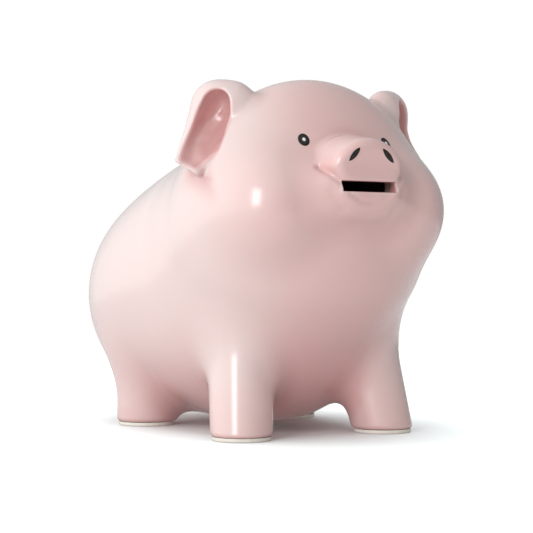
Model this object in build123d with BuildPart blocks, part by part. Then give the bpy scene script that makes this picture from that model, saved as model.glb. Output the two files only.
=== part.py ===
"""Ceramic pig money bank: a hollow slip-cast body with a coin slot for a mouth and
solid legs that no coin can lodge in, luted ears and tail, glued foot pads, painted
marks and a pull-out belly stopper.

Frame: millimetres, +Z up, the pig faces -Y, origin on the ground under the middle
of the bounding box.
"""
import os

from build123d import *

# ---- driving dimensions -------------------------------------------------------
WALL = 5.4                      # thickness of the slip-cast wall
SLOT_LENGTH = 32.4              # coin slot, along X
SLOT_HEIGHT = 5.2
SLOT_Z = 130.4                  # middle of the slot above the ground

# trunk stations from face to rump: y, half width, height of the widest line, top, bottom
TRUNK = [
    (-103.5, 50.0, 118.0, 138.0, 90.0),
    (-97.0, 60.0, 119.0, 153.0, 73.0),
    (-87.5, 66.5, 119.0, 173.0, 55.0),
    (-76.0, 70.0, 118.5, 184.5, 39.5),
    (-63.5, 72.5, 115.5, 189.7, 25.5),
    (-48.0, 74.0, 109.0, 187.6, 13.5),
    (-30.5, 75.0, 97.0, 178.5, 6.5),
    (-8.0, 76.5, 85.5, 166.0, 5.0),
    (15.0, 78.0, 80.5, 158.2, 5.2),
    (37.5, 78.0, 77.0, 151.5, 5.5),
    (59.5, 74.5, 75.0, 144.0, 7.5),
    (79.5, 65.5, 75.0, 134.5, 15.5),
    (94.5, 53.0, 75.0, 123.0, 27.0),
    (104.5, 39.5, 75.0, 111.0, 39.0),
    (111.5, 24.5, 75.0, 97.0, 53.0),
    (114.5, 12.0, 75.0, 86.0, 64.0),
]
TRUNK_MIDDLE = (0.0, 5.5, 95.0)

CHEEK_CENTRE = (38.0, -81.0, 120.5)
CHEEK_RADII = (28.0, 28.0, 29.0)

# muzzle, snout disc and lower lip
MUZZLE_Z = 136.5
MUZZLE_RADII = (21.5, 20.5)
MUZZLE_FRONT_Y = -115.3
MUZZLE_DEPTH = 45.0
MUZZLE_FILLET = 6.0
SNOUT_RADII = (22.6, 12.8)
SNOUT_Z = 145.4
SNOUT_FRONT_Y = -119.3
SNOUT_DEPTH = 30.0
SNOUT_FILLET = 5.0
SNOUT_LEAN = 12.0               # degrees that the snout's face leans back at the top
LIP_CENTRE = (0.0, -104.5, 122.6)
LIP_RADII = (18.0, 13.6, 8.6)

# legs and pads
PAD_THICKNESS = 2.2
PAD_RADIUS = 15.6
FOOT_RADIUS = 16.3
FOOT_FILLET = 1.8
PAD_FILLET = 0.6
LEG_TOP_Z = 68.0
LEG_TOP_RADIUS = 20.0
LEG_ROOT_LOW = 10.0             # every leg meets the trunk above this height
LEG_ROOT_FILLET = 11.0
FRONT_FOOT = (44.3, -63.5)
FRONT_LEG_TOP = (38.5, -53.0)
REAR_FOOT = (48.0, 41.5)
REAR_LEG_TOP = (45.0, 38.0)

# ears: each is drawn in its own frame, out / forward / up, through level stations
EAR_CENTRE = (61.3, -57.4, 162.8)
EAR_SPLAY = 30.0                # degrees that the ear's open face is turned outward
EAR_BACK = -7.0                 # middle of the ear's thickness, behind its rim
EAR_CURL = 15.0                 # how far the lowest part of the ear curls forward
EAR_CURL_TOP = 4.0              # the curl starts below this height in the ear's frame
EAR_CURL_SPAN = 29.0            # height over which the curl grows to its full reach
# stations from tip to top: height, outward shift, half width, half thickness
EAR_LEAF = [
    (-24.6, 8.7, 2.8, 2.0),
    (-22.0, 8.9, 6.2, 4.0),
    (-17.0, 8.3, 8.0, 5.0),
    (-9.0, 4.6, 9.6, 6.3),
    (0.0, -1.0, 11.9, 7.4),
    (8.0, -5.0, 14.2, 8.0),
    (15.0, -7.6, 14.2, 7.8),
    (21.0, -8.6, 10.2, 6.0),
    (24.6, -8.9, 3.6, 2.4),
]
# the hollow of the ear, open below: height, outward shift, half width, depth
EAR_HOLLOW = [
    (-31.0, 15.5, 7.0, 7.6),
    (-20.0, 9.4, 7.4, 7.8),
    (-10.0, 2.8, 7.4, 8.2),
    (0.0, -3.0, 7.6, 9.6),
    (10.0, -6.0, 8.0, 10.4),
    (16.5, -6.0, 5.4, 7.0),
    (19.0, -6.0, 1.8, 2.6),
]
EAR_RIM = 1.0                   # how far the rim stands in front of the ear's frame

# belly hole and stopper
STOPPER_Y = 0.0
BORE_RADIUS = 17.0
SEAT_RADIUS = 22.5
SEAT_Z = 8.8
BOSS_RADIUS = 26.0
BOSS_TOP_Z = 14.6
NECK_CLEARANCE = 0.1
FLANGE_RADIUS = 21.5
FLANGE_THICKNESS = 2.2
NECK_HEIGHT = 9.0
NECK_WALL = 2.6
RECESS_RADIUS = 12.0
RECESS_DEPTH = 5.6
WEB_THICKNESS = 1.8
FLANGE_FILLET = 0.8
NECK_CHAMFER = 1.0
GRIP_WIDTH = 4.0

# painted marks
PAINT = 0.35                    # height of an enamel spot above the glaze
PAINT_ROOT = 2.0                # how deep a spot is drawn before the body is cut from it
EYE_X = 25.3
EYE_Z = 154.6
EYE_RADII = (2.9, 3.4)
NOSTRIL_X = 10.2
NOSTRIL_Z = 146.2
NOSTRIL_LENGTH = 9.0
NOSTRIL_BULGE = 1.25
NOSTRIL_TILT = 40.0

# tail: one turn of a tapering coil
TAIL_ROOT_Z = 108.0
TAIL_RING = 9.0                 # radius of the tail's one turn
TAIL_THICKNESS = 3.6
TAIL_INSET = 3.7                # how far the ring stands inside the rump's furthest point
TAIL_BURY = 8.0                 # how deep the root runs into the rump
# how far the coil has come out of the rump after each quarter turn
TAIL_RISE = (0.0, 2.0, 3.0, 5.0)
TAIL_TIP = (6.0, 5.0)           # the tip's further rise and drop

os.makedirs("parts", exist_ok=True)


def write(name, part):
    """Label a finished piece and write its STEP file."""
    part.label = name
    export_step(part, f"parts/{name}.step")


def ellipsoid(centre, radii, turn=(0, 0, 0)):
    """An ellipsoid with half-axes radii, turned and moved to its centre."""
    ball = Sphere(radii[2], mode=Mode.PRIVATE)
    stretched = scale(ball, by=(radii[0] / radii[2], radii[1] / radii[2], 1), mode=Mode.PRIVATE)
    return Location(centre, turn) * stretched


def trunk(inset):
    """The trunk drawn in by inset all round, lofted through egg-shaped sections."""
    middle_x, middle_y, middle_z = TRUNK_MIDDLE
    half_width = max(station[1] for station in TRUNK)
    half_length = (TRUNK[-1][0] - TRUNK[0][0]) / 2
    half_height = (max(s[3] for s in TRUNK) - min(s[4] for s in TRUNK)) / 2
    across = 1 - inset / half_width
    along = 1 - inset / half_length
    up = 1 - inset / half_height
    with BuildPart() as form:
        for y, width, widest_z, top_z, bottom_z in TRUNK:
            place_y = middle_y + (y - middle_y) * along
            place_z = middle_z + (widest_z - middle_z) * up
            section = Plane((middle_x, place_y, place_z), x_dir=(1, 0, 0), z_dir=(0, -1, 0))
            with BuildSketch(section):
                with BuildLine():
                    EllipticalCenterArc((0, 0), width * across, (top_z - widest_z) * up, 0, arc_size=180)
                    EllipticalCenterArc((0, 0), width * across, (widest_z - bottom_z) * up, 180, arc_size=180)
                make_face()
        loft()
    return form.part


def leg(foot, top):
    """One solid leg, tapering from its round foot up into the trunk."""
    with BuildPart() as form:
        with BuildSketch(Plane.XY.offset(PAD_THICKNESS)):
            with Locations(foot):
                Circle(FOOT_RADIUS)
        with BuildSketch(Plane.XY.offset(LEG_TOP_Z)):
            with Locations(top):
                Circle(LEG_TOP_RADIUS)
        loft()
        fillet(form.edges().group_by(Axis.Z)[0], FOOT_FILLET)
    return form.part


def muzzle(inset):
    """The blunt oval block that carries the snout and the mouth."""
    front = Plane((0, MUZZLE_FRONT_Y + inset, MUZZLE_Z), x_dir=(1, 0, 0), z_dir=(0, -1, 0))
    with BuildPart() as form:
        with BuildSketch(front):
            Ellipse(MUZZLE_RADII[0] - inset, MUZZLE_RADII[1] - inset)
        extrude(amount=-MUZZLE_DEPTH)
        fillet(form.faces().sort_by(Axis.Y)[0].edges(), MUZZLE_FILLET - inset / 2)
    return form.part


def ear_form(stations):
    """A smooth form through level ellipses: up, out, forward, half width, half depth.

    Forward is -Y here; the caller turns the form to face the way the ear does.
    """
    with BuildPart() as form:
        for up, out, forward, half_width, half_depth in stations:
            with BuildSketch(Plane.XY.offset(up)):
                with Locations((out, -forward)):
                    Ellipse(half_width, half_depth)
        loft()
    return form.part


def curl(up):
    """How far forward the ear has curled at a height in its own frame."""
    return EAR_CURL * (max(EAR_CURL_TOP - up, 0) / EAR_CURL_SPAN) ** 2


def both_sides(left_half):
    """A shape and its mirror image in the pig's middle plane."""
    return [left_half, mirror(left_half, about=Plane.YZ, mode=Mode.PRIVATE)]


# ---- outer form: everything that the casting mould shapes ----------------------
snout_plane = Plane((0, SNOUT_FRONT_Y, SNOUT_Z), x_dir=(1, 0, 0), z_dir=(0, -1, 0))
snout_plane = snout_plane.rotated((-SNOUT_LEAN, 0, 0))

with BuildPart() as snout:
    with BuildSketch(snout_plane):
        Ellipse(*SNOUT_RADII)
    extrude(amount=-SNOUT_DEPTH)
    fillet(snout.faces().sort_by(Axis.Y)[0].edges(), SNOUT_FILLET)

LEGS = ((FRONT_FOOT, FRONT_LEG_TOP), (REAR_FOOT, REAR_LEG_TOP))
legs = [side for foot, top in LEGS for side in both_sides(leg(foot, top))]
cheeks = both_sides(ellipsoid(CHEEK_CENTRE, CHEEK_RADII))
lip = ellipsoid(LIP_CENTRE, LIP_RADII)
solid_trunk = trunk(0)
hollow_trunk = trunk(WALL)
solid_muzzle = muzzle(0)
hollow_muzzle = muzzle(WALL)

with BuildPart() as outer_form:
    add(solid_trunk)
    add(legs)
    leg_roots = outer_form.edges(Select.LAST).filter_by(
        lambda edge: LEG_ROOT_LOW < edge.center().Z < LEG_TOP_Z
    )
    fillet(leg_roots, LEG_ROOT_FILLET)
    add(cheeks)
    add(solid_muzzle)
    add(snout.part)
    add(lip)

# ---- ceramic body --------------------------------------------------------------
with BuildPart() as ceramic_body:
    add(outer_form.part)
    add(hollow_trunk, mode=Mode.SUBTRACT)
    add(hollow_muzzle, mode=Mode.SUBTRACT)
    # coin slot through the lip
    with Locations((0, MUZZLE_FRONT_Y, SLOT_Z)):
        Box(SLOT_LENGTH, 4 * WALL, SLOT_HEIGHT, mode=Mode.SUBTRACT)
    # thickened ring, flat seat and bore for the stopper
    with BuildSketch(Plane.XY.offset(SEAT_Z)):
        with Locations((0, STOPPER_Y)):
            Circle(BOSS_RADIUS)
    extrude(amount=BOSS_TOP_Z - SEAT_Z)
    with BuildSketch(Plane.XY):
        with Locations((0, STOPPER_Y)):
            Circle(SEAT_RADIUS)
    extrude(amount=SEAT_Z, mode=Mode.SUBTRACT)
    with BuildSketch(Plane.XY):
        with Locations((0, STOPPER_Y)):
            Circle(BORE_RADIUS)
    extrude(amount=2 * BOSS_TOP_Z, mode=Mode.SUBTRACT)
write("ceramic_body", ceramic_body.part)

# ---- ears: cupped leaves, luted to the sides of the head -------------------------
ear_frame = Location(EAR_CENTRE) * Location((0, 0, 0), (0, 0, EAR_SPLAY))
leaf_stations = [(up, out, EAR_BACK + curl(up), half, thick) for up, out, half, thick in EAR_LEAF]
hollow_stations = [(up, out, EAR_RIM + curl(up), half, deep) for up, out, half, deep in EAR_HOLLOW]
ear_leaf = ear_frame * ear_form(leaf_stations)
ear_hollow = ear_frame * ear_form(hollow_stations)

with BuildPart() as ear_left:
    add(ear_leaf)
    add(ear_hollow, mode=Mode.SUBTRACT)
    add(outer_form.part, mode=Mode.SUBTRACT)

with BuildPart() as ear_right:
    mirror(ear_left.part, about=Plane.YZ)

write("ear_left", ear_left.part)
write("ear_right", ear_right.part)

# ---- curly tail: one turn of a tapering coil, luted to the rump -------------------
rump_y = outer_form.part.bounding_box().max.Y
tail_y = rump_y - TAIL_INSET
with BuildPart() as curly_tail:
    with BuildLine() as tail_path:
        Spline(
            (0, tail_y - TAIL_BURY, TAIL_ROOT_Z),
            (-TAIL_RING, tail_y + TAIL_RISE[0], TAIL_ROOT_Z - TAIL_RING),
            (0, tail_y + TAIL_RISE[1], TAIL_ROOT_Z - 2 * TAIL_RING),
            (TAIL_RING, tail_y + TAIL_RISE[2], TAIL_ROOT_Z - TAIL_RING),
            (0, tail_y + TAIL_RISE[3], TAIL_ROOT_Z),
            (-TAIL_RING, tail_y + TAIL_TIP[0], TAIL_ROOT_Z - TAIL_TIP[1]),
        )
    with BuildSketch(Plane(tail_path.line @ 0, z_dir=tail_path.line % 0)):
        Circle(TAIL_THICKNESS)
    sweep()
    add(outer_form.part, mode=Mode.SUBTRACT)
write("curly_tail", curly_tail.part)

# ---- glued foot pads --------------------------------------------------------------
FEET = {
    "front_left": (FRONT_FOOT[0], FRONT_FOOT[1]),
    "front_right": (-FRONT_FOOT[0], FRONT_FOOT[1]),
    "rear_left": (REAR_FOOT[0], REAR_FOOT[1]),
    "rear_right": (-REAR_FOOT[0], REAR_FOOT[1]),
}
for corner, foot in FEET.items():
    with BuildPart() as foot_pad:
        with BuildSketch():
            with Locations(foot):
                Circle(PAD_RADIUS)
        extrude(amount=PAD_THICKNESS)
        fillet(foot_pad.edges(), PAD_FILLET)
    write(f"foot_pad_{corner}", foot_pad.part)

# ---- belly stopper: flanged plug with a finger recess and a grip bar ----------------
neck_radius = BORE_RADIUS - NECK_CLEARANCE
flange_z = SEAT_Z - FLANGE_THICKNESS
with BuildPart() as belly_stopper:
    with BuildSketch(Plane.XY.offset(flange_z)):
        with Locations((0, STOPPER_Y)):
            Circle(FLANGE_RADIUS)
    extrude(amount=FLANGE_THICKNESS)
    fillet(belly_stopper.faces().sort_by(Axis.Z)[0].edges(), FLANGE_FILLET)
    with BuildSketch(Plane.XY.offset(SEAT_Z)):
        with Locations((0, STOPPER_Y)):
            Circle(neck_radius)
    extrude(amount=NECK_HEIGHT)
    chamfer(belly_stopper.faces().sort_by(Axis.Z)[-1].edges(), NECK_CHAMFER)
    # hollow above the web
    web_z = flange_z + RECESS_DEPTH
    with BuildSketch(Plane.XY.offset(web_z + WEB_THICKNESS)):
        with Locations((0, STOPPER_Y)):
            Circle(neck_radius - NECK_WALL)
    extrude(amount=NECK_HEIGHT, mode=Mode.SUBTRACT)
    # finger recess below the web, with a bar across it
    with BuildSketch(Plane.XY.offset(flange_z)):
        with Locations((0, STOPPER_Y)):
            Circle(RECESS_RADIUS)
            Rectangle(3 * RECESS_RADIUS, GRIP_WIDTH, mode=Mode.SUBTRACT)
    extrude(amount=RECESS_DEPTH, mode=Mode.SUBTRACT)
write("belly_stopper", belly_stopper.part)

# ---- painted marks: enamel spots that stand a hair above the glaze ------------------
def surface_plane(x, z):
    """A plane on the front of the outer form at x and z, facing straight out of it."""
    ahead = (x, 2 * SNOUT_FRONT_Y, z)
    hits = outer_form.part.shells()[0].find_intersection_points(Axis(ahead, (0, 1, 0)))
    point, normal = min(hits, key=lambda hit: hit[0].Y)
    return Plane(point, x_dir=(1, 0, 0), z_dir=normal)


with BuildPart() as eye_left:
    with BuildSketch(surface_plane(EYE_X, EYE_Z).offset(-PAINT_ROOT)):
        Ellipse(*EYE_RADII)
    extrude(amount=PAINT_ROOT + PAINT)
    add(outer_form.part, mode=Mode.SUBTRACT)

with BuildPart() as eye_right:
    mirror(eye_left.part, about=Plane.YZ)

with BuildPart() as nostril_left:
    with BuildSketch(surface_plane(NOSTRIL_X, NOSTRIL_Z).offset(-PAINT_ROOT)) as nostril_shape:
        with BuildLine(Plane.XY.rotated((0, 0, NOSTRIL_TILT))):
            tips = ((0, -NOSTRIL_LENGTH / 2), (0, NOSTRIL_LENGTH / 2))
            ThreePointArc(tips[0], (NOSTRIL_BULGE, 0), tips[1])
            ThreePointArc(tips[1], (-NOSTRIL_BULGE, 0), tips[0])
        make_face()
    extrude(amount=PAINT_ROOT + PAINT)
    add(outer_form.part, mode=Mode.SUBTRACT)

with BuildPart() as nostril_right:
    mirror(nostril_left.part, about=Plane.YZ)

write("eye_left", eye_left.part)
write("eye_right", eye_right.part)
write("nostril_left", nostril_left.part)
write("nostril_right", nostril_right.part)
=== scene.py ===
"""Looks of the glazed pottery pig bank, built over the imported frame.

The glazed skin is one closed form described by distance fields in millimetres, and
meshed on a graded grid. Eyes, nostrils, tail, foot pads and belly ring are their own
pieces. Up is +Z and the pig faces -Y.
"""
import math

import bmesh
import bpy
import numpy as np
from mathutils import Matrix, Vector


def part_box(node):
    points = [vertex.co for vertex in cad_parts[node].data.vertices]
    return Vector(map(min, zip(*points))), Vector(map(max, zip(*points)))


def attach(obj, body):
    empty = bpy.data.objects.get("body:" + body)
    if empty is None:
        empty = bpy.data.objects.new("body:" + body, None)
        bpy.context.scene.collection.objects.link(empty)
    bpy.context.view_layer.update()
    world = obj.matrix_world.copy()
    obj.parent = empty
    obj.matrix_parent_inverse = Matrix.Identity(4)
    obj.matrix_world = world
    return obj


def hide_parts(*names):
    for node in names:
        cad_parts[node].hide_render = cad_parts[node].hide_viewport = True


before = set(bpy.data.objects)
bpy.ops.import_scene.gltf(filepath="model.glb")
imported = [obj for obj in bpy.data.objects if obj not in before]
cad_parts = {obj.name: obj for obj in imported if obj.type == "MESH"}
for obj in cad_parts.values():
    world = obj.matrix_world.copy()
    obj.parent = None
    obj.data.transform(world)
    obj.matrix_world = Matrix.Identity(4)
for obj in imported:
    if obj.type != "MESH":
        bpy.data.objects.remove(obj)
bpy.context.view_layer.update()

MM = 0.001


def box_mm(node):
    """Lowest and highest corner of a CAD node, in millimetres."""
    low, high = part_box(node)
    return np.array(low) / MM, np.array(high) / MM


# ---- places read from the frame -------------------------------------------------
def middle_of(node):
    low, high = box_mm(node)
    return (low + high) / 2


front_foot = middle_of("foot_pad_front_left")[:2]
rear_foot = middle_of("foot_pad_rear_left")[:2]
pad_low, pad_high = box_mm("foot_pad_front_left")
PAD_THICKNESS = pad_high[2]
PAD_RADIUS = (pad_high[0] - pad_low[0]) / 2
stopper_low, stopper_high = box_mm("belly_stopper")
STOPPER_Y = (stopper_low[1] + stopper_high[1]) / 2
FLANGE_RADIUS = (stopper_high[0] - stopper_low[0]) / 2
tail_low, tail_high = box_mm("curly_tail")
eye_place = middle_of("eye_left")
nostril_place = middle_of("nostril_left")
rump_y = box_mm("ceramic_body")[1][1]

# ---- driving dimensions, millimetres ----------------------------------------------
WALL = 5.4                       # thickness of the slip-cast wall
SLOT_LENGTH = 32.4
SLOT_HEIGHT = 5.2
SLOT_Z = 130.4
SLOT_EDGE = 0.8                  # rounding of the slot's glazed edge
FOOT_RADIUS = 16.4
LEG_BLEND = 14.0                 # reach of the soft join between a leg and the trunk
BORE_RADIUS = 17.2
RING_RADIUS = 26.0
RING_TOP = 14.6
SEAT_RADIUS = FLANGE_RADIUS + 1
FLANGE_THICKNESS = 2.2
SEAT_Z = stopper_low[2] + FLANGE_THICKNESS
TAIL_THICKNESS = 3.6
TAIL_INSET = 3.7                 # how far the coil starts inside the rump's furthest point
TAIL_RISE = 7.5                  # how far the tip stands behind the start
TAIL_BURY = 6.0
TAIL_ROOT = 0.06                 # share of the tail's length that runs straight out of the rump
TAIL_TURN = 400                  # degrees that the coil turns through

# ---- distance fields ---------------------------------------------------------------
def smooth_min(a, b, reach):
    """The nearer of two fields, blended where they differ by less than reach."""
    overlap = np.maximum(reach - np.abs(a - b), 0) / reach
    return np.minimum(a, b) - overlap * overlap * reach / 4


def smooth_max(a, b, reach):
    return -smooth_min(-a, -b, reach)


def ellipsoid(points, centre, radii):
    offset = points - np.array(centre)
    radii = np.array(radii)
    once = np.linalg.norm(offset / radii, axis=-1)
    twice = np.linalg.norm(offset / (radii * radii), axis=-1)
    return once * (once - 1) / np.maximum(twice, 1e-9)


def taper(points, start, end, start_radius, end_radius, before=0.0, after=1.0):
    """A tapering rod with round ends, run on past its ends by before and after."""
    start = np.array(start, float)
    along = np.array(end, float) - start
    share = (points - start) @ along / (along @ along)
    share = np.clip(share, before, after)
    nearest = start + share[..., None] * along
    radius = start_radius + (end_radius - start_radius) * share
    return np.linalg.norm(points - nearest, axis=-1) - radius


def chain(points, stops, reach):
    """Tapering rods end to end in the X-Z plane; a stop is ((x, z), radius)."""
    field = None
    for (start, start_radius), (end, end_radius) in zip(stops[:-1], stops[1:]):
        rod = taper(points, (start[0], 0, start[1]), (end[0], 0, end[1]), start_radius, end_radius)
        field = rod if field is None else smooth_min(field, rod, reach)
    return field


def tilted(points, centre, degrees):
    """Points seen from a frame at centre that leans back by degrees."""
    angle = math.radians(degrees)
    offset = points - np.array(centre)
    x, y, z = offset[..., 0], offset[..., 1], offset[..., 2]
    turned_y = math.cos(angle) * y + math.sin(angle) * z
    turned_z = math.cos(angle) * z - math.sin(angle) * y
    return np.stack([x, turned_y, turned_z], -1)


def oval_block(points, half_width, half_height, half_depth, edge, narrow=0.0):
    """An oval disc facing Y with its rim rounded by edge, narrowing upwards by narrow."""
    y, z = points[..., 1], points[..., 2]
    x = points[..., 0] * (1 + narrow * z / half_height)
    reach = np.sqrt((x / half_width) ** 2 + (z / half_height) ** 2 + 1e-9)
    slope = np.sqrt((x / half_width ** 2) ** 2 + (z / half_height ** 2) ** 2 + 1e-12) / reach
    out = np.maximum((reach - 1) / np.maximum(slope, 1e-6), -min(half_width, half_height))
    deep = np.abs(y) - half_depth
    corner = np.hypot(np.maximum(out + edge, 0), np.maximum(deep + edge, 0))
    return corner + np.minimum(np.maximum(out + edge, deep + edge), 0) - edge


def trunk_field(points):
    torso = ellipsoid(points, (0, 37.5, 75), (78, 78, 71))
    head = ellipsoid(points, (0, -60.5, 126), (66.5, 39, 63.7))
    neck = ellipsoid(points, (0, -25.5, 97.5), (71, 69, 66.5))
    belly = ellipsoid(points, (0, -9.5, 74), (70, 74, 71))
    cheek = ellipsoid(points, (38, -81, 120.5), (28, 28, 29))
    jowl = ellipsoid(points, (25, -94, 126.5), (13, 14, 13))
    cheek = smooth_min(cheek, jowl, 9)
    field = smooth_min(torso, head, 22)
    field = smooth_min(field, neck, 40)
    field = smooth_min(field, belly, 12)
    field = smooth_max(field, 4.4 - points[..., 2], 4)
    return smooth_min(field, cheek, 13.5)


def leg_field(points):
    front = taper(points, (38.5, -53, 50), (*front_foot, PAD_THICKNESS), 17.8, FOOT_RADIUS, -0.3, 1.2)
    rear = taper(points, (45.5, 38.5, 45), (*rear_foot, PAD_THICKNESS), 20, FOOT_RADIUS, -0.3, 1.2)
    return smooth_max(np.minimum(front, rear), PAD_THICKNESS - points[..., 2], 2.5)


def groove(points, stops, depth, width):
    """A shallow furrow along a line of (x, z) stops on the front of the face."""
    flat = points * np.array((1, 0, 1))
    distance = chain(flat, [(stop, 0) for stop in stops], 0.5)
    return depth * np.exp(-(distance / width) ** 2) * (points[..., 1] < -90)


SMILE = ((24, 139.5), (19.5, 134.6), (17, 132.4))
MOUTH_CORNER = ((21, 128.5), (19.5, 124), (15.5, 119.5))
LIP_LINE = ((12.5, 126.8), (7, 123.6), (0, 122.3))


def face_field(points, trunk):
    """The trunk with the block that holds the slot, the lip and the snout."""
    block = oval_block(tilted(points, (0, -101, 132), 0), 20.0, 12, 14.2, 5)
    lip = oval_block(tilted(points, (0, -102, 124.4), -6), 18.6, 9.4, 14.8, 6)
    snout = oval_block(tilted(points, (0, -106.6, 144.4), 11), 20.6, 12.4, 12.2, 5, 0.17)
    field = smooth_min(trunk, smooth_min(block, lip, 6), 18)
    field = smooth_min(field, snout, 4)
    field = field + groove(points, SMILE, 1.0, 1.9)
    field = field + groove(points, MOUTH_CORNER, 0.5, 3.4)
    return field + groove(points, LIP_LINE, 0.55, 1.4)


EAR_CENTRE = (61.3, -57.4, 162.8)
EAR_SPLAY = math.radians(30)
EAR_LEAF = (((-18.5, 6.5), 13.2), ((-12, 9.8), 14.6), ((-6.2, 9.9), 15), ((-3.5, 3.2), 13.9),
            ((0, -1.8), 11.7), ((3.3, -7), 9.6), ((4.8, -12.5), 9.7), ((9, -21.5), 8.7))
EAR_HOLLOW = (((-5.6, 12.5), 6.2), ((-4.2, 6), 6.1), ((-1.6, -1), 5.7), ((1.2, -7), 5.2),
              ((4.2, -13), 4.9), ((8.4, -19.5), 4.7), ((14, -27), 4.6))
EAR_CURL = 18.5                  # how far the ear's tip curls forward over the neck
EAR_CURL_TOP = 4.0               # the curl starts below this height in the ear's frame
EAR_CURL_SPAN = 29.0             # height over which the curl grows to its full reach
EAR_BACK = 5.0                   # middle of the leaf's thickness, behind the ear's centre
EAR_RIM = 3.0                    # how far the hollow's middle stands in front of it
EAR_TIP_CUT = (0.543, -0.838, 24.5)   # the squared tip: out and up shares, and how far along


def ear_fields(points):
    """The ear's leaf with its hollow taken out, and the hollow, which also dents the head."""
    offset = points - np.array(EAR_CENTRE)
    out = offset[..., 0] * math.cos(EAR_SPLAY) + offset[..., 1] * math.sin(EAR_SPLAY)
    ahead = offset[..., 0] * math.sin(EAR_SPLAY) - offset[..., 1] * math.cos(EAR_SPLAY)
    up = offset[..., 2]
    ahead = ahead - EAR_CURL * np.clip((EAR_CURL_TOP - up) / EAR_CURL_SPAN, 0, 1.3) ** 1.4
    beyond_tip = EAR_TIP_CUT[0] * out + EAR_TIP_CUT[1] * up - EAR_TIP_CUT[2]
    leaf = chain(np.stack([out, (ahead + EAR_BACK) * 1.45, up], -1), EAR_LEAF, 2.5)
    leaf = smooth_max((leaf + 0.6) * 0.75, beyond_tip, 1.5)
    deeper = 6 * np.clip((6 - out) / 22, 0, 1) ** 2
    shallower = 5 * np.clip((-7 - up) / 18, 0, 1) ** 1.5
    from_rim = ahead - EAR_RIM + deeper - shallower
    hollow = chain(np.stack([out, from_rim * 0.75, up], -1), EAR_HOLLOW, 9)
    return smooth_max(leaf, -hollow, 2.2), smooth_max(hollow, beyond_tip, 1)


def hollow_field(points, trunk, ear_hollow):
    """The space inside the casting: a smaller trunk, opened out behind the slot."""
    front = oval_block(points - np.array((0, -88.6, 132.5)), 17, 13, 23.3, 3)
    chamber = smooth_min(trunk + WALL, front, 6)
    chamber = smooth_max(chamber, WALL - ear_hollow, 4)
    return smooth_max(chamber, RING_TOP - 3 - points[..., 2], 4)


def slot_field(points):
    x, y, z = points[..., 0], points[..., 1], points[..., 2]
    across = np.maximum(x - SLOT_LENGTH / 2, np.abs(z - SLOT_Z) - SLOT_HEIGHT / 2)
    return smooth_max(across, y + 92, 1)


def skin_field(points):
    """The whole glazed casting, mirrored in the middle plane."""
    half = np.stack([np.abs(points[..., 0]), points[..., 1], points[..., 2]], -1)
    trunk = trunk_field(half)
    field = smooth_min(face_field(half, trunk), leg_field(half), LEG_BLEND)
    ear, ear_hollow = ear_fields(half)
    field = smooth_max(field, -ear_hollow, 1.6)
    field = smooth_min(field, ear, 4)
    field = smooth_max(field, -hollow_field(half, trunk, ear_hollow), 2)
    from_axis = np.hypot(half[..., 0], half[..., 1] - STOPPER_Y)
    bore = np.maximum(from_axis - (BORE_RADIUS + SEAT_RADIUS) / 2, half[..., 2] - 2 * RING_TOP)
    seat = np.maximum(from_axis - SEAT_RADIUS, half[..., 2] - SEAT_Z)
    field = smooth_max(field, -np.minimum(bore, seat), 1.4)
    return smooth_max(field, -slot_field(half), SLOT_EDGE)


def gradient(field, points, step=0.25):
    columns = []
    for axis in np.eye(3) * step:
        columns.append((field(points + axis) - field(points - axis)) / (2 * step))
    return np.stack(columns, -1)


def in_chunks(work, points, size=200000):
    return np.concatenate([work(points[i:i + size]) for i in range(0, len(points), size)])


# ---- meshing ---------------------------------------------------------------------
def graded(stops, coarser=1.0):
    """Grid lines through stops of (from, to, step)."""
    lines = []
    for start, end, step in stops:
        count = max(2, round((end - start) / (step * coarser)))
        lines.append(np.linspace(start, end, count + 1)[:-1])
    return np.append(np.concatenate(lines), stops[-1][1])


def surface_net(lines, field):
    """Vertices and four-sided faces of field = 0, one vertex for each cell it crosses."""
    inside = field < 0
    cells = tuple(n - 1 for n in field.shape)
    corners = [(i, j, k) for i in (0, 1) for j in (0, 1) for k in (0, 1)]
    count = sum(inside[i:i + cells[0], j:j + cells[1], k:k + cells[2]].astype(np.int8)
                for i, j, k in corners)
    where = np.argwhere((count > 0) & (count < 8))
    number = np.full(cells, -1, np.int64)
    number[tuple(where.T)] = np.arange(len(where))
    total = np.zeros((len(where), 3))
    hits = np.zeros(len(where))
    for axis in range(3):
        step = np.eye(3, dtype=int)[axis]
        for corner in corners:
            if corner[axis]:
                continue
            low = where + np.array(corner)
            high = low + step
            at_low = field[tuple(low.T)]
            at_high = field[tuple(high.T)]
            crossed = (at_low < 0) != (at_high < 0)
            share = np.where(crossed, at_low / np.where(crossed, at_low - at_high, 1), 0)
            for part in range(3):
                here = lines[part][low[:, part]]
                there = lines[part][high[:, part]]
                total[:, part] += np.where(crossed, here + share * (there - here), 0)
            hits += crossed
    vertices = total / hits[:, None]
    faces = []
    for axis in range(3):
        side, other = [a for a in range(3) if a != axis]
        low = np.argwhere(np.diff(inside.astype(np.int8), axis=axis) != 0)
        edge_sides = (low[:, side] > 0) & (low[:, side] < cells[side])
        edge_others = (low[:, other] > 0) & (low[:, other] < cells[other])
        low = low[edge_sides & edge_others]
        back = np.eye(3, dtype=int)
        ring = [low - back[side] - back[other], low - back[other], low, low - back[side]]
        quad = np.stack([number[tuple(cell.T)] for cell in ring], 1)
        outward = inside[tuple(low.T)]
        if axis == 1:
            outward = ~outward
        quad[~outward] = quad[~outward][:, ::-1]
        faces.append(quad)
    return vertices, np.concatenate(faces)


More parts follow.
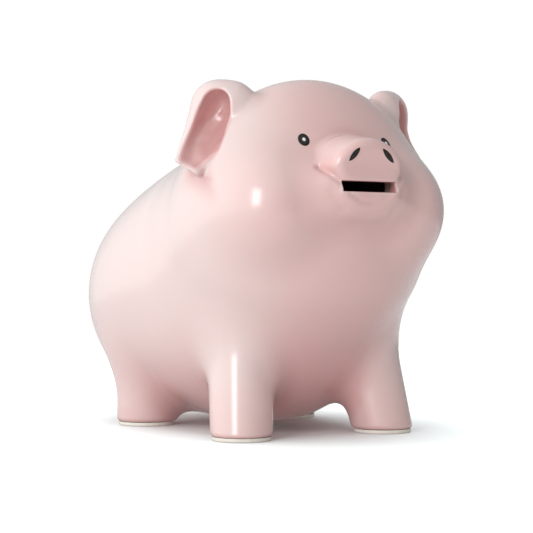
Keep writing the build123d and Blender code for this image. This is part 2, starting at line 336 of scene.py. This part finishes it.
def settle(field, vertices, rounds=3, limit=0.8):
    """Moves vertices on to field = 0 along its gradient."""
    for _ in range(rounds):
        value = field(vertices)
        slope = gradient(field, vertices)
        move = value[:, None] * slope / np.maximum((slope * slope).sum(1, keepdims=True), 0.05)
        size = np.linalg.norm(move, axis=1, keepdims=True)
        vertices = vertices - move * np.minimum(1, limit / np.maximum(size, 1e-9))
    return vertices


def unit(vectors):
    return vectors / np.maximum(np.linalg.norm(vectors, axis=-1, keepdims=True), 1e-9)


def weld(mesh):
    """Joins the vertices that meet on a turned piece's axis and points its faces outward."""
    shape = bmesh.new()
    shape.from_mesh(mesh)
    bmesh.ops.remove_doubles(shape, verts=shape.verts, dist=1e-6)
    bmesh.ops.dissolve_degenerate(shape, edges=shape.edges, dist=1e-7)
    bmesh.ops.recalc_face_normals(shape, faces=shape.faces)
    shape.to_mesh(mesh)
    shape.free()


def new_piece(name, vertices_mm, faces, material, body, normals=None, values=None, tidy=False):
    """A mesh piece from millimetre vertices, shaded smooth, riding on a body."""
    mesh = bpy.data.meshes.new(name)
    mesh.from_pydata((np.asarray(vertices_mm) * MM).tolist(), [], [list(map(int, f)) for f in faces])
    if tidy:
        weld(mesh)
    mesh.shade_smooth()
    for label, numbers in (values or {}).items():
        attribute = mesh.attributes.new(label, "FLOAT", "POINT")
        attribute.data.foreach_set("value", np.asarray(numbers, np.float32))
    if normals is not None:
        mesh.normals_split_custom_set_from_vertices(normals.tolist())
    mesh.materials.append(material)
    piece = bpy.data.objects.new(name, mesh)
    bpy.context.scene.collection.objects.link(piece)
    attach(piece, body)
    return piece


# ---- materials ----------------------------------------------------------------------
class Shader:
    """A small helper for building one material's nodes."""

    def __init__(self, name):
        self.material = bpy.data.materials.new(name)
        self.material.use_nodes = True
        self.nodes = self.material.node_tree.nodes
        self.links = self.material.node_tree.links
        self.surface = self.nodes["Principled BSDF"]

    def set(self, **sockets):
        for name, value in sockets.items():
            self.surface.inputs[name.replace("_", " ")].default_value = value

    def node(self, kind, **settings):
        made = self.nodes.new(kind)
        for name, value in settings.items():
            setattr(made, name, value)
        return made

    def noise(self, scale, detail=2.0, roughness=0.5):
        """Noise in object space; scale is in waves per metre."""
        place = self.node("ShaderNodeTexCoord")
        made = self.node("ShaderNodeTexNoise")
        made.inputs["Scale"].default_value = scale
        made.inputs["Detail"].default_value = detail
        made.inputs["Roughness"].default_value = roughness
        self.links.new(place.outputs["Object"], made.inputs["Vector"])
        return made.outputs["Fac"]

    def attribute(self, name):
        return self.node("ShaderNodeAttribute", attribute_name=name).outputs["Fac"]

    def ranged(self, source, low, high, to_low=0.0, to_high=1.0):
        made = self.node("ShaderNodeMapRange")
        for name, value in (("From Min", low), ("From Max", high), ("To Min", to_low), ("To Max", to_high)):
            made.inputs[name].default_value = value
        self.links.new(source, made.inputs["Value"])
        return made.outputs["Result"]

    def mixed(self, share, first, second):
        """A colour between first and second; each is a colour or a socket."""
        made = self.node("ShaderNodeMix", data_type="RGBA")
        self.links.new(share, made.inputs["Factor"])
        for socket, value in (("A", first), ("B", second)):
            target = [s for s in made.inputs if s.name == socket and s.type == "RGBA"][0]
            if isinstance(value, tuple):
                target.default_value = (*value, 1)
            else:
                self.links.new(value, target)
        return [s for s in made.outputs if s.type == "RGBA"][0]

    def colour(self, source):
        self.links.new(source, self.surface.inputs["Base Color"])

    def roughness(self, source):
        self.links.new(source, self.surface.inputs["Roughness"])

    def bump(self, source, distance, strength=1.0):
        made = self.node("ShaderNodeBump")
        made.inputs["Distance"].default_value = distance
        made.inputs["Strength"].default_value = strength
        self.links.new(source, made.inputs["Height"])
        self.links.new(made.outputs["Normal"], self.surface.inputs["Normal"])


PINK = (0.80, 0.55, 0.53)
PINK_WARM = (0.79, 0.53, 0.505)
PINK_POOL_AND_SHADE = (0.66, 0.31, 0.30)   # deeper pink in hollows and underneath: partly pooled glaze, partly painted shade
PINK_THIN = (0.90, 0.72, 0.70)   # over the sharpest edges
PINK_PAINTED_SHEEN = (0.80, 0.67, 0.645)  # painted light: paler down the flanks and the rump, a sheen where the broad light falls
BISCUIT_AND_SHADE = (0.55, 0.36, 0.33)     # unglazed clay inside, darkened as painted shade


def glaze_material():
    """Pale pink glaze, paler on edges where it thins. Deeper pink in hollows is partly pooled glaze, partly
    painted shade; deeper pink underneath is painted shade, and a paler sheen down the flanks is painted
    light.
    """
    shader = Shader("pink_glaze_look")
    cloud = shader.ranged(shader.noise(14, 3, 0.55), 0.35, 0.65)
    base = shader.mixed(cloud, PINK, PINK_WARM)
    # painted light: a paler sheen down the flanks, outer cheeks and rump
    base = shader.mixed(shader.ranged(shader.attribute("painted_sheen"), 0, 1, 0, 0.85), base, PINK_PAINTED_SHEEN)
    # deeper pink in hollows: partly pooled glaze, partly painted shade
    base = shader.mixed(shader.ranged(shader.attribute("pooled_glaze_and_shade"), 0.12, 0.75, 0, 0.95), base, PINK_POOL_AND_SHADE)
    base = shader.mixed(shader.ranged(shader.attribute("edge"), 0.25, 0.9, 0, 0.6), base, PINK_THIN)
    # painted shade: deeper pink over the underside
    base = shader.mixed(shader.ranged(shader.attribute("under"), 0, 1, 0, 0.5), base, PINK_POOL_AND_SHADE)
    # inside the casting: unglazed clay, darkened as painted shade
    base = shader.mixed(shader.attribute("inside"), base, BISCUIT_AND_SHADE)
    shader.colour(base)
    shader.roughness(shader.ranged(shader.noise(60, 2), 0.3, 0.7, 0.20, 0.27))
    shader.bump(shader.noise(90, 1), 0.00012, 0.5)
    shader.set(Coat_Weight=1.0, Coat_Roughness=0.19, Coat_IOR=1.6, Subsurface_Weight=0.12,
               Subsurface_Scale=0.004, Subsurface_Radius=(1.0, 0.35, 0.25), IOR=1.45)
    return shader.material


def enamel_material():
    """Brush-painted black enamel, greyer where the brush left it thin round the rim."""
    shader = Shader("black_enamel_look")
    streak = shader.ranged(shader.noise(700, 2), 0.3, 0.7)
    base = shader.mixed(streak, (0.006, 0.005, 0.004), (0.014, 0.010, 0.008))
    base = shader.mixed(shader.attribute("rim"), base, (0.035, 0.035, 0.032))
    shader.colour(base)
    shader.roughness(shader.ranged(streak, 0, 1, 0.30, 0.42))
    shader.bump(shader.noise(900, 1), 0.00003, 0.5)
    shader.set(Coat_Weight=0.15, Coat_Roughness=0.1, Specular_IOR_Level=0.25)
    return shader.material


def glint_material():
    """Painted highlight: the small pale spot in the middle of each eye, standing in for its glint."""
    shader = Shader("eye_glint_paint_look")
    mottle = shader.ranged(shader.noise(900, 2), 0.3, 0.7)
    shader.colour(shader.mixed(mottle, (0.80, 0.79, 0.77), (0.90, 0.89, 0.87)))
    shader.roughness(shader.ranged(shader.noise(500, 1), 0.3, 0.7, 0.2, 0.3))
    shader.set(Coat_Weight=0.6, Coat_Roughness=0.05)
    return shader.material


def pad_material():
    """Cream foot pads with a fine moulded mottle."""
    shader = Shader("pad_rubber_look")
    mottle = shader.ranged(shader.noise(180, 3), 0.3, 0.7)
    shader.colour(shader.mixed(mottle, (0.90, 0.87, 0.80), (0.84, 0.80, 0.72)))
    shader.roughness(shader.ranged(shader.noise(400, 2), 0.3, 0.7, 0.24, 0.38))
    shader.bump(shader.noise(1500, 2), 0.00004, 0.4)
    shader.set(Coat_Weight=0.3, Coat_Roughness=0.2)
    return shader.material


def gap_shadow_material():
    """Painted shadow: the dark hairline between a foot and its pad, standing in for the shade of the gap.
    """
    shader = Shader("glue_line_look")
    mottle = shader.ranged(shader.noise(300, 3), 0.3, 0.7)
    shader.colour(shader.mixed(mottle, (0.10, 0.085, 0.07), (0.17, 0.14, 0.115)))
    shader.roughness(shader.ranged(shader.noise(700, 1), 0.3, 0.7, 0.5, 0.7))
    return shader.material


def stopper_material():
    """Off-white soft plastic, satin, with a faint moulding texture."""
    shader = Shader("stopper_rubber_look")
    mottle = shader.ranged(shader.noise(120, 3), 0.3, 0.7)
    shader.colour(shader.mixed(mottle, (0.66, 0.63, 0.58), (0.56, 0.53, 0.48)))
    shader.roughness(shader.ranged(shader.noise(500, 2), 0.3, 0.7, 0.42, 0.58))
    shader.bump(shader.noise(2200, 2), 0.00006, 0.5)
    return shader.material


glaze = glaze_material()
enamel = enamel_material()
glint_paint = glint_material()
pad_look = pad_material()
stopper_look = stopper_material()
gap_shadow_paint = gap_shadow_material()

# ---- glazed skin ------------------------------------------------------------------
GRID_X = ((0, 14, 2.0), (14, 18.5, 0.5), (18.5, 25, 0.8), (25, 40, 2.2), (40, 80, 1.0), (80, 84, 2))
GRID_Y = ((-124, -112, 0.8), (-112, -92, 1.4), (-92, -78, 2.0), (-78, -42, 1.0), (-42, -26, 2.2),
          (-26, 26, 1.6), (26, 118, 2.6))
GRID_Z = ((0.4, 3, 0.7), (3, 18, 1.2), (18, 110, 2.6), (110, 126, 1.6), (126, 134.5, 0.5),
          (134.5, 162, 1.2), (162, 192, 1.0))
POOL_AND_SHADE_REACH = (5.0, 12.0, 26.0)         # how far out of the surface a hollow is felt, for its pooled glaze and painted shade
EDGE_REACH = 2.2                       # how far under the surface an edge is felt


def smooth_step(values, start, end):
    """Ramp from 0 at start to 1 at end with soft ends."""
    share = np.clip((values - start) / (end - start), 0, 1)
    return share * share * (3 - 2 * share)


def glaze_depths(vertices, normals):
    """How far the glaze pools in hollows with painted shade, thins on edges, and where painted light pales
    the flanks and painted shade darkens the underside.
    """
    # hollows felt at several reaches; their deeper pink is partly pooled glaze, partly painted shade
    pooled_glaze_and_shade = np.zeros(len(vertices))
    for reach in POOL_AND_SHADE_REACH:
        closed = np.clip(1 - skin_field(vertices + normals * reach) / reach, 0, 1)
        pooled_glaze_and_shade = pooled_glaze_and_shade + closed / len(POOL_AND_SHADE_REACH)
    edge = np.clip(1 + skin_field(vertices - normals * EDGE_REACH) / EDGE_REACH, 0, 1)
    mirrored = np.abs(vertices) * (1, 0, 0) + vertices * (0, 1, 1)
    ear_hollow = ear_fields(mirrored)[1]
    # the ear's hollow gets the same deeper pink, partly painted shade
    pooled_glaze_and_shade = np.maximum(pooled_glaze_and_shade, 0.62 * smooth_step(-ear_hollow, -2.5, 0))
    inside = hollow_field(mirrored, trunk_field(mirrored), ear_hollow) < 1.5
    # painted light: where the paler sheen lies, on the outer cheeks, the rump and the flanks
    cheek = smooth_step(vertices[:, 1], -125, -60) * smooth_step(mirrored[:, 0], 15, 50)
    rump = smooth_step(vertices[:, 1], -60, 5)
    painted_sheen = np.maximum(cheek, rump) * smooth_step(vertices[:, 2], -25, 50)
    # painted shade: downward-facing surfaces low on the body turn deeper pink
    under = smooth_step(-normals[:, 2], -0.1, 0.8) * smooth_step(-vertices[:, 2], -80, -20)
    return {"pooled_glaze_and_shade": pooled_glaze_and_shade, "edge": edge, "inside": inside, "painted_sheen": painted_sheen, "under": under}


def build_skin():
    """The body with its legs, head and ears under one coat of glaze."""
    coarser = 1.0
    right, along, up = (graded(stops, coarser) for stops in (GRID_X, GRID_Y, GRID_Z))
    rows = np.stack(np.meshgrid(right, along, up, indexing="ij"), -1)
    half = in_chunks(skin_field, rows.reshape(-1, 3)).reshape(rows.shape[:3])
    both = np.concatenate([half[:0:-1], half])
    lines = (np.concatenate([-right[:0:-1], right]), along, up)
    vertices, faces = surface_net(lines, both)
    vertices = settle(skin_field, vertices)
    normals = unit(gradient(skin_field, vertices))
    values = glaze_depths(vertices, normals)
    piece = new_piece("glazed_skin", vertices, faces, glaze, "bank", normals, values)
    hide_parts("ceramic_body", "ear_left", "ear_right")
    return piece


# ---- helpers for the smaller pieces ----------------------------------------------------
def lathe(name, profile, centre, material, body, turns=96):
    """A closed profile of (radius, z) points, turned about a vertical line at centre."""
    angles = np.linspace(0, 2 * math.pi, turns, endpoint=False)
    vertices = [(centre[0] + r * math.cos(a), centre[1] + r * math.sin(a), z)
                for a in angles for r, z in profile]
    count = len(profile)
    faces = []
    for i in range(turns):
        for j in range(count):
            here, ahead = i * count, (i + 1) % turns * count
            step = (j + 1) % count
            faces.append((here + j, ahead + j, ahead + step, here + step))
    return new_piece(name, vertices, faces, material, body, tidy=True)


def arc_points(centre, radius, start, end, count):
    """Points on an arc of a profile, from start to end in degrees."""
    points = []
    for i in range(count + 1):
        angle = math.radians(start + (end - start) * i / count)
        points.append((centre[0] + radius * math.cos(angle), centre[1] + radius * math.sin(angle)))
    return points


def painted_spot(name, outline, centre, height, material):
    """A lens of paint lying on the skin: outline gives its edge for an angle, seen square on."""
    rings = 9
    spokes = 40
    points = [(0.0, 0.0)]
    shares = [0.0]
    for ring in range(1, rings + 1):
        share = ring / rings
        for spoke in range(spokes):
            across, up = outline(2 * math.pi * spoke / spokes)
            points.append((across * share, up * share))
            shares.append(share)
    points = np.array(points)
    shares = np.array(shares)
    middle = land_on_skin(np.array([centre]) - (0, 6, 0), np.array((0, 1, 0)))
    facing = unit(gradient(skin_field, middle))[0]
    right = unit(np.cross((0, 0, 1), facing))
    above = np.cross(facing, right)
    start = middle + facing * 4 + points[:, :1] * right + points[:, 1:] * above
    ground = land_on_skin(start, -facing)
    normals = unit(gradient(skin_field, ground))
    lift = height * np.sqrt(np.maximum(1 - shares ** 3, 0))
    top = ground + normals * (lift[:, None] + 0.02)
    bottom = ground - normals * 0.35
    count = len(points)
    faces = []
    for spoke in range(spokes):
        turn = (spoke + 1) % spokes
        faces.append((0, 1 + turn, 1 + spoke))
        faces.append((count, count + 1 + spoke, count + 1 + turn))
        for ring in range(rings - 1):
            a, b = 1 + ring * spokes, 1 + (ring + 1) * spokes
            faces.append((a + spoke, a + turn, b + turn, b + spoke))
            faces.append((count + a + turn, count + a + spoke, count + b + spoke, count + b + turn))
        edge = 1 + (rings - 1) * spokes
        faces.append((edge + spoke, edge + turn, count + edge + turn, count + edge + spoke))
    rim = np.exp(-((shares - 0.48) / 0.14) ** 2)
    vertices = np.concatenate([top, bottom])
    return new_piece(name, vertices, faces, material, "bank",
                     values={"rim": np.concatenate([rim, rim])})


def land_on_skin(points, heading):
    """Points moved along heading until they lie on the skin."""
    for _ in range(30):
        points = points + 0.8 * skin_field(points)[:, None] * heading
    return points


def oval(width, height):
    return lambda angle: (width * math.cos(angle), height * math.sin(angle))


def leaf(half_length, half_width, lean):
    """A pointed leaf outline whose top leans towards the middle of the face."""
    def edge(angle):
        along = half_length * math.cos(angle)
        across = half_width * math.sin(angle) * abs(math.sin(angle)) ** 0.6
        return (across * math.cos(lean) - along * math.sin(lean),
                across * math.sin(lean) + along * math.cos(lean))
    return edge


# brush strokes differ a little: half length, half width, lean in degrees
NOSTRIL_SHIFT = -0.5
NOSTRILS = {"left": (5.2, 1.45, 47), "right": (4.5, 1.5, 40)}
EYE_RADII = (3.1, 3.9)
GLINT_SHARE = 0.36               # the painted highlight spot, as a share of the eye


def build_marks():
    """Eyes with a pale spot painted in as their highlight, and leaf-shaped nostrils."""
    for side, sign in (("left", 1), ("right", -1)):
        eye = eye_place * (sign, 1, 1)
        spot = painted_spot(f"eye_paint_{side}", oval(*EYE_RADII), eye, 0.5, enamel)
        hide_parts(f"eye_{side}")
        small = [radius * GLINT_SHARE for radius in EYE_RADII]
        # painted highlight: a pale spot on each eye stands in for the glint of light
        painted_spot(f"eye_glint_paint_{side}", oval(*small), eye, 0.7, glint_paint)
        half_length, half_width, lean = NOSTRILS[side]
        nostril = nostril_place * (sign, 1, 1) + (NOSTRIL_SHIFT, 0, 0)
        stroke = leaf(half_length, half_width, sign * math.radians(lean))
        mark = painted_spot(f"nostril_paint_{side}", stroke, nostril, 0.25, enamel)
        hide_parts(f"nostril_{side}")


def tube(name, path, radii, material, body, sides=24):
    """A closed round tube along path, with its own radius at each point."""
    path = np.array(path)
    ahead = unit(np.gradient(path, axis=0))
    side = unit(np.cross(ahead[0], (0.3, 0.2, 1)))
    vertices = []
    for place, forward, radius in zip(path, ahead, radii):
        side = unit(side - forward * (side @ forward))
        other = np.cross(forward, side)
        for i in range(sides):
            angle = 2 * math.pi * i / sides
            vertices.append(place + radius * (math.cos(angle) * side + math.sin(angle) * other))
    faces = []
    for j in range(len(path) - 1):
        for i in range(sides):
            turn = (i + 1) % sides
            faces.append((j * sides + i, j * sides + turn, (j + 1) * sides + turn, (j + 1) * sides + i))
    last = (len(path) - 1) * sides
    faces.append(tuple(range(sides))[::-1])
    faces.append(tuple(last + i for i in range(sides)))
    return new_piece(name, vertices, faces, material, body)


def build_tail():
    """One turn of a tapering coil with a flared root, luted to the rump."""
    ring = (tail_high[0] - tail_low[0]) / 2 - TAIL_THICKNESS
    middle = np.array((0, rump_y - TAIL_INSET, tail_low[2] + TAIL_THICKNESS + ring))
    stations = 90
    path = []
    radii = []
    for i in range(stations + 1):
        share = i / stations
        turn = math.radians(-TAIL_TURN * max(share - TAIL_ROOT, 0) / (1 - TAIL_ROOT))
        out = TAIL_RISE * share - TAIL_BURY * max(1 - share / TAIL_ROOT, 0)
        path.append(middle + (ring * math.sin(turn), out, ring * math.cos(turn)))
        flare = 2.6 * math.exp(-(share / 0.075) ** 2)
        tip = math.sqrt(max(1 - max(share - 0.94, 0) / 0.06, 0.004))
        radii.append((TAIL_THICKNESS * (1.06 - 0.34 * share) + flare) * tip)
    tail = tube("tail_coil", path, radii, glaze, "bank")
    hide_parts("curly_tail")


def build_feet():
    """Turned pads with eased edges, and over each a thin dark line of painted shadow for the gap."""
    radius, top = PAD_RADIUS, PAD_THICKNESS
    profile = [(0, 0), (radius - 0.9, 0)]
    profile += arc_points((radius - 0.9, 0.9), 0.9, -90, 0, 6)
    profile += arc_points((radius - 0.5, top - 0.5), 0.5, 0, 90, 5)
    profile += [(radius - 2, top), (0, top)]
    # painted shadow: a thin dark ring where the gap between foot and pad lies in shade
    shadow_line_profile = [(0, top - 0.02), (radius - 0.35, top - 0.02), (radius - 0.2, top + 0.15),
            (radius - 0.35, top + 0.45), (0, top + 0.45)]
    for corner in ("front_left", "front_right", "rear_left", "rear_right"):
        centre = middle_of(f"foot_pad_{corner}")
        pad = lathe(f"pad_{corner}", profile, centre, pad_look, "bank")
        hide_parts(f"foot_pad_{corner}")
        lathe(f"glue_line_{corner}", shadow_line_profile, centre, gap_shadow_paint, "bank")


def build_belly_ring():
    """The thickened ring that the stopper's neck seals in."""
    centre = (0, STOPPER_Y)
    profile = arc_points((BORE_RADIUS + 0.6, SEAT_Z + 0.6), 0.6, 180, 270, 4)[::-1]
    profile = [(RING_RADIUS, SEAT_Z)] + profile + [(BORE_RADIUS, RING_TOP - 1)]
    profile += arc_points((BORE_RADIUS + 1, RING_TOP - 1), 1, 180, 90, 4)
    profile += arc_points((RING_RADIUS - 1, RING_TOP - 1), 1, 90, 0, 4)
    lathe("belly_ring", profile[::-1], centre, glaze, "bank", turns=120)


# ---- floor, light and camera ---------------------------------------------------------
CAMERA_PLACE = Vector((-0.45405, -0.78723, 0.0865))
CAMERA_FORWARD = Vector((0.5063, 0.8624, 0.0045))
LENS = 108.07
# soft glows of the room: azimuth, elevation, cosine where it starts, weakest, strongest
ROOM_GLOWS = ((-100, 22, -0.4, 0.31, 1.09), (190, 8, 0.0, 0, 0.2), (-88, -4, 0.3, 0, 0.25))
FLOOR_REACH = 1.0        # metres
FLOOR_TURNS = 64
UNDER_FILL = 0.14        # painted light: the floor glows faint pink to all but the camera, standing in for light handed back and forth between the belly and the floor


def build_camera():
    data = bpy.data.cameras.new("camera")
    data.lens = LENS
    data.sensor_width = 36
    data.clip_start = 0.01
    camera = bpy.data.objects.new("camera", data)
    camera.location = CAMERA_PLACE
    camera.rotation_euler = CAMERA_FORWARD.to_track_quat("-Z", "Y").to_euler()
    bpy.context.scene.collection.objects.link(camera)
    bpy.context.scene.camera = camera


def direction(azimuth, elevation):
    """Azimuth 0 is straight ahead of the pig, + to its left."""
    around, above = math.radians(azimuth), math.radians(elevation)
    level = math.cos(above)
    return Vector((math.sin(around) * level, -math.cos(around) * level, math.sin(above)))


def softbox(name, azimuth, elevation, distance, width, height, power):
    """An area light aimed at the pig."""
    data = bpy.data.lights.new(name, "AREA")
    data.shape = "RECTANGLE"
    data.size = width
    data.size_y = height
    data.energy = power
    light = bpy.data.objects.new(name, data)
    out = direction(azimuth, elevation)
    target = Vector((0, 0, 0.09))
    light.location = target + out * distance
    light.rotation_euler = (-out).to_track_quat("-Z", "Y").to_euler()
    bpy.context.scene.collection.objects.link(light)
    return light


def room_glow(tree, place, azimuth, elevation, start, weakest, strongest):
    """Brightness that grows smoothly towards one direction of the room."""
    aim = tree.nodes.new("ShaderNodeVectorMath")
    aim.operation = "DOT_PRODUCT"
    aim.inputs[1].default_value = direction(azimuth, elevation)
    tree.links.new(place.outputs["Generated"], aim.inputs[0])
    glow = tree.nodes.new("ShaderNodeMapRange")
    glow.interpolation_type = "SMOOTHSTEP"
    glow.inputs["From Min"].default_value = start
    glow.inputs["To Min"].default_value = weakest
    glow.inputs["To Max"].default_value = strongest
    tree.links.new(aim.outputs["Value"], glow.inputs["Value"])
    return glow.outputs["Result"]


def added(tree, first, second):
    made = tree.nodes.new("ShaderNodeMath")
    tree.links.new(first, made.inputs[0])
    tree.links.new(second, made.inputs[1])
    return made.outputs["Value"]


def build_world():
    """A dim white room with soft glows, seen by the camera as plain white."""
    world = bpy.data.worlds.new("studio")
    world.use_nodes = True
    tree = world.node_tree
    background = tree.nodes["Background"]
    background.inputs["Color"].default_value = (1, 1, 1, 1)
    place = tree.nodes.new("ShaderNodeTexCoord")
    seen = tree.nodes.new("ShaderNodeLightPath")
    glows = [room_glow(tree, place, *glow) for glow in ROOM_GLOWS]
    total = glows[0]
    for glow in glows[1:]:
        total = added(tree, total, glow)
    pick = tree.nodes.new("ShaderNodeMix")
    pick.inputs["B"].default_value = 1.0
    tree.links.new(total, pick.inputs["A"])
    tree.links.new(seen.outputs["Is Camera Ray"], pick.inputs["Factor"])
    tree.links.new(pick.outputs["Result"], background.inputs["Strength"])
    bpy.context.scene.world = world


def floor_material():
    """White to the camera, darker to the light it hands back so the pig keeps its shadows, and glowing
    faint pink to all other rays.
    """
    shader = Shader("floor_look")
    seen = shader.node("ShaderNodeLightPath").outputs["Is Camera Ray"]
    speckle = shader.mixed(shader.noise(2, 2), (0.84, 0.90, 0.90), (0.86, 0.92, 0.92))
    shader.colour(shader.mixed(seen, (0.37, 0.36, 0.36), speckle))
    # painted light: a faint pink glow from the floor, hidden from the camera
    fill = shader.ranged(seen, 0, 1, UNDER_FILL, 0)
    shader.links.new(fill, shader.surface.inputs["Emission Strength"])
    shader.set(Emission_Color=(1.0, 0.80, 0.80, 1.0), Roughness=0.6, Specular_IOR_Level=0.1)
    return shader.material


def build_floor():
    """A round pale floor with its own overhead lamp, which lights nothing else."""
    rim = []
    for i in range(FLOOR_TURNS):
        angle = 2 * math.pi * i / FLOOR_TURNS
        rim.append((FLOOR_REACH * math.cos(angle), FLOOR_REACH * math.sin(angle), 0))
    mesh = bpy.data.meshes.new("floor")
    mesh.from_pydata(rim, [], [tuple(range(FLOOR_TURNS))])
    mesh.materials.append(floor_material())
    floor = bpy.data.objects.new("floor", mesh)
    bpy.context.scene.collection.objects.link(floor)
    overhead = softbox("floor_wash", 0, 90, 2.2, 2.2, 2.2, 55)
    floor_only = bpy.data.collections.new("floor_only")
    floor_only.objects.link(floor)
    overhead.light_linking.receiver_collection = floor_only


def build_studio():
    build_world()
    build_floor()
    softbox("key", -54, 17, 1.6, 0.42, 0.8, 5.5)
    view = bpy.context.scene.view_settings
    view.view_transform = "Standard"
    view.look = "None"


build_camera()
build_studio()
build_skin()
build_marks()
build_tail()
build_feet()
build_belly_ring()
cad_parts["belly_stopper"].material_slots[0].material = stopper_look
